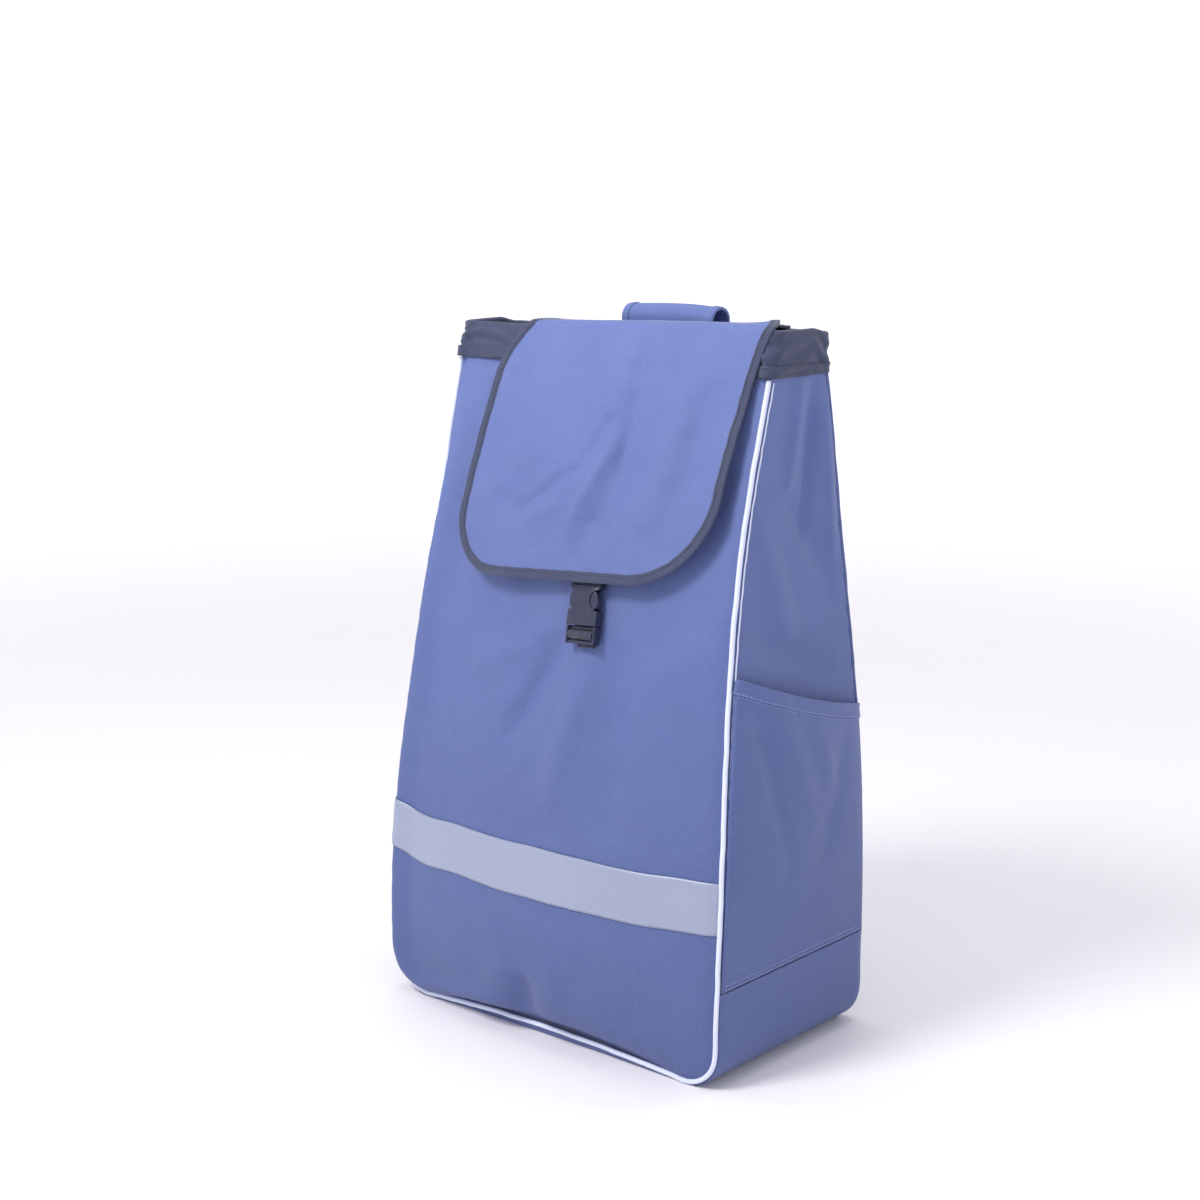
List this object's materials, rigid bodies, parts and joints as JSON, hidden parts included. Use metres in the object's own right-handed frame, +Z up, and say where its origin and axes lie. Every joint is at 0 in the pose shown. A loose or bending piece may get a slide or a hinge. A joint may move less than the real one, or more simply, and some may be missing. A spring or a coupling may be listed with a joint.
{
  "type": "shopping trolley bag",
  "caption": "Upright fabric bag of a shopping trolley, with a fold-over lid, side-release buckle, side pocket, reflective tape and a rear sleeve for the trolley's crossbar.",
  "frame": {"origin": "middle of the bag's underside, on the surface that it stands on", "axes": "+X to the bag's right side as its front is looked at, -Y out of the front, +Z up"},
  "size_m": [0.3542, 0.2179, 0.58],
  "materials": {
    "bag_cloth": "mid-blue polyester twill, coated on the inside",
    "trim_cloth": "dark grey woven binding tape",
    "piping": "white vinyl piping",
    "reflective": "silver-grey reflective tape, satin",
    "board": "black polyethylene board",
    "webbing": "black 24 mm polypropylene webbing",
    "buckle_plastic": "moulded black acetal, satin"
  },
  "bodies": {
    "bag": {"front_panel": "bag_cloth", "back_panel": "bag_cloth", "gusset_left": "bag_cloth", "gusset_right": "bag_cloth", "base_panel": "bag_cloth", "base_board": "board", "front_piping": "piping", "back_seam": "bag_cloth", "front_seam_tape": "trim_cloth", "back_seam_tape": "trim_cloth", "mouth_band": "trim_cloth", "reflective_tape": "reflective", "pocket_panel": "bag_cloth", "pocket_hem": "bag_cloth", "bar_sleeve": "bag_cloth", "webbing_anchor": "webbing"},
    "lid": {"lid_top_panel": "bag_cloth", "lid_binding_left": "trim_cloth", "lid_binding_right": "trim_cloth"},
    "flap": {"flap_panel": "bag_cloth", "flap_binding": "trim_cloth", "flap_tab": "webbing"},
    "socket": {"buckle_socket": "buckle_plastic", "socket_loop": "webbing"},
    "plug": {"buckle_plug": "buckle_plastic", "plug_loop": "webbing"},
    "prong_left": {"prong_left": "buckle_plastic"},
    "prong_right": {"prong_right": "buckle_plastic"}
  },
  "joints": [
    {"name": "lid_hinge", "type": "hinge", "parent": "bag", "child": "lid", "pos_m": [0.015, 0.0458, 0.5736], "axis": [-1, 0, 0], "range_deg": [0, 110]},
    {"name": "flap_fold", "type": "hinge", "parent": "lid", "child": "flap", "pos_m": [0.015, -0.022, 0.5736], "axis": [-1, 0, 0], "range_deg": [0, 150]},
    {"name": "socket_swing", "type": "hinge", "parent": "flap", "child": "socket", "pos_m": [0.0315, -0.08782, 0.37481], "axis": [-1, 0, 0], "range_deg": [0, 15]},
    {"name": "plug_swing", "type": "hinge", "parent": "bag", "child": "plug", "pos_m": [0.0315, -0.09173, 0.31933], "axis": [1, 0, 0], "range_deg": [0, 110]},
    {"name": "prong_left_squeeze", "type": "hinge", "parent": "plug", "child": "prong_left", "pos_m": [0.0241, -0.08845, 0.34097], "axis": [0, 0.9709, -0.2396], "range_deg": [0, 12], "stiffness_Nm_per_rad": 0.02, "deforming": ["prong_left"]},
    {"name": "prong_right_squeeze", "type": "hinge", "parent": "plug", "child": "prong_right", "pos_m": [0.0389, -0.08845, 0.34097], "axis": [0, -0.9709, 0.2396], "range_deg": [0, 12], "stiffness_Nm_per_rad": 0.02, "deforming": ["prong_right"]}
  ]
}
